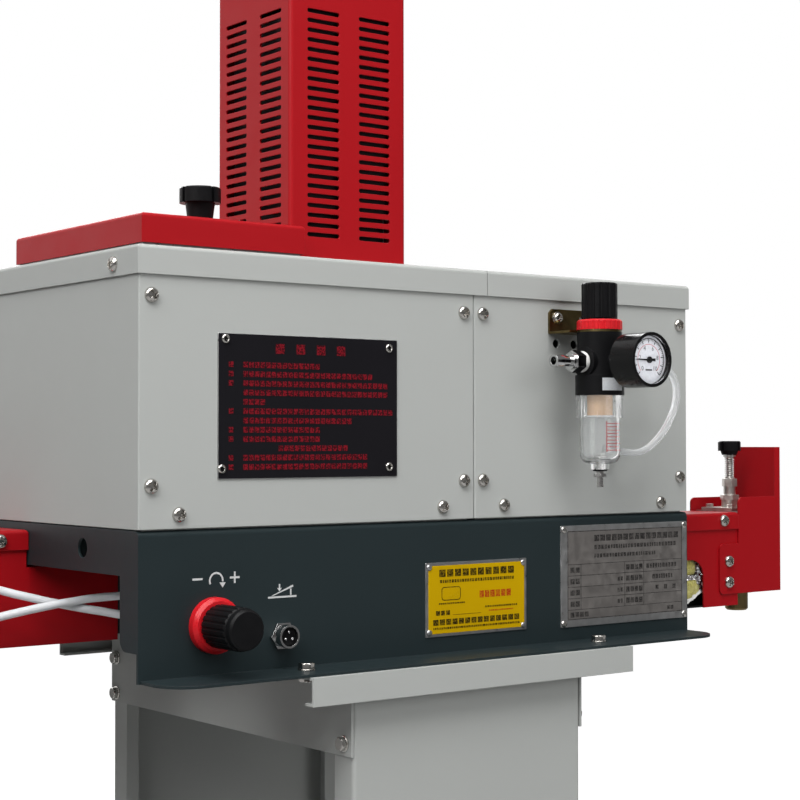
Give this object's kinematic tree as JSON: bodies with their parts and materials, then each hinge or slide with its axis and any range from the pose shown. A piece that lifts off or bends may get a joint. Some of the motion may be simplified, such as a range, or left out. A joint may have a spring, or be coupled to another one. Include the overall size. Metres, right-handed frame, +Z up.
{
  "type": "hot melt glue unit",
  "caption": "Hot melt glue unit with a heated tank, slotted motor tower, glue valve, air gun arm and filter regulator on a folded sheet stand.",
  "frame": {"origin": "on the floor, under the middle of the outline", "axes": "+X to the right along the service face, +Y to the operator's side, +Z up"},
  "size_m": [0.8, 0.5, 1.207],
  "materials": {
    "grey_paint": "fine powder coat",
    "slate_paint": "satin powder coat",
    "red_paint": "gloss paint",
    "black_plastic": "moulded",
    "red_plastic": "moulded",
    "rubber": "moulded",
    "steel": "turned",
    "chrome": "plated",
    "aluminium": "machined",
    "brass": "machined",
    "zinc": "yellow zinc plated",
    "clear_plastic": "clear moulded",
    "white_tube": "extruded",
    "wool": "glass wool",
    "filter": "sintered",
    "motor_black": "satin"
  },
  "bodies": {
    "root": {"feet": "grey_paint", "foot_pads": "rubber", "beams": "grey_paint", "leg_front": "grey_paint", "leg_rear": "grey_paint", "end_plates": "grey_paint", "rails": "grey_paint", "base_tray": "slate_paint", "tank_cabinet": "grey_paint", "control_cabinet": "grey_paint", "tank_cabinet_lid": "grey_paint", "control_cabinet_lid": "grey_paint", "tank": "aluminium", "lid_hinge": "steel", "motor_tower": "red_paint", "gear_motor": "motor_black", "valve_box": "red_paint", "valve_lid": "red_paint", "valve_shield": "red_paint", "valve_block": "aluminium", "valve_wool": "wool", "valve_bonnet": "steel", "valve_spring": "steel", "valve_outlet": "brass", "arm_box": "red_paint", "arm_lid": "red_paint", "gun_block": "aluminium", "gun_cylinder": "aluminium", "gun_nozzle": "brass", "solenoid_valve": "black_plastic", "push_fittings": "chrome", "air_tube_open": "white_tube", "air_tube_close": "white_tube", "frl_tube": "clear_plastic", "frl_bracket": "zinc", "frl_body": "black_plastic", "frl_nut": "red_plastic", "frl_bowl": "clear_plastic", "frl_element": "filter", "frl_inlet": "chrome", "gauge_case": "black_plastic", "gauge_lens": "clear_plastic", "regulator_body": "steel", "regulator_nut": "red_plastic", "foot_socket": "chrome", "socket_insert": "black_plastic", "panel_instruments": "black_plastic", "cable_gland": "black_plastic"},
    "tank_lid": {"tank_lid": "red_paint", "lid_knob": "black_plastic"},
    "frl_knob": {"frl_knob": "black_plastic"},
    "regulator_knob": {"regulator_knob": "black_plastic"},
    "valve_washer": {"valve_washer": "steel"},
    "valve_knob": {"valve_knob": "black_plastic", "valve_spindle": "steel"},
    "frl_drain": {"frl_drain": "steel"},
    "gauge_pointer": {"gauge_pointer": "black_plastic"},
    "power_rocker": {"power_rocker": "red_plastic"},
    "speed_dial": {"speed_dial": "black_plastic"},
    "drive_shaft": {"drive_shaft": "steel"}
  },
  "joints": [
    {"name": "tank_lid_hinge", "type": "hinge", "parent": "root", "child": "tank_lid", "pos_m": [-0.2115, 0.0548, 1.001], "axis": [-1, 0, 0], "range_deg": [0, 100]},
    {"name": "frl_pressure_turn", "type": "hinge", "parent": "root", "child": "frl_knob", "pos_m": [0.111, -0.1816, 0.972], "axis": [0, 0, -1], "range_deg": [0, 720]},
    {"name": "nozzle_pressure_turn", "type": "hinge", "parent": "root", "child": "regulator_knob", "pos_m": [-0.2224, -0.17, 0.736], "axis": [0, 1, 0], "range_deg": [0, 720]},
    {"name": "valve_travel", "type": "slide", "parent": "root", "child": "valve_washer", "axis": [0, 0, -1], "range_m": [0, 0.0025], "deforming": ["valve_spring"]},
    {"name": "valve_turn", "type": "hinge", "parent": "valve_washer", "child": "valve_knob", "pos_m": [0.3615, -0.093, 0.852], "axis": [0, 0, -1], "range_deg": [0, 720]},
    {"name": "drain_push", "type": "slide", "parent": "root", "child": "frl_drain", "axis": [0, 0, 1], "range_m": [0, 0.003], "stiffness_N_per_m": 200, "springref_m": -0.002},
    {"name": "gauge_sweep", "type": "hinge", "parent": "root", "child": "gauge_pointer", "pos_m": [0.111, -0.236, 0.9245], "axis": [0, 1, 0], "range_deg": [-45, 225]},
    {"name": "power_switch", "type": "hinge", "parent": "root", "child": "power_rocker", "pos_m": [0.0585, 0.1454, 0.847], "axis": [-1, 0, 0], "range_deg": [0, 16]},
    {"name": "speed_turn", "type": "hinge", "parent": "root", "child": "speed_dial", "pos_m": [0.1305, 0.151, 0.847], "axis": [0, -1, 0], "range_deg": [0, 270]},
    {"name": "pump_drive", "type": "hinge", "parent": "root", "child": "drive_shaft", "pos_m": [-0.09055, -0.07295, 0.902], "axis": [0, 0, 1], "continuous": true}
  ],
  "couplings": [
    {"joint": "valve_turn", "follows": "valve_travel", "rad_per_m": 5026.5}
  ]
}
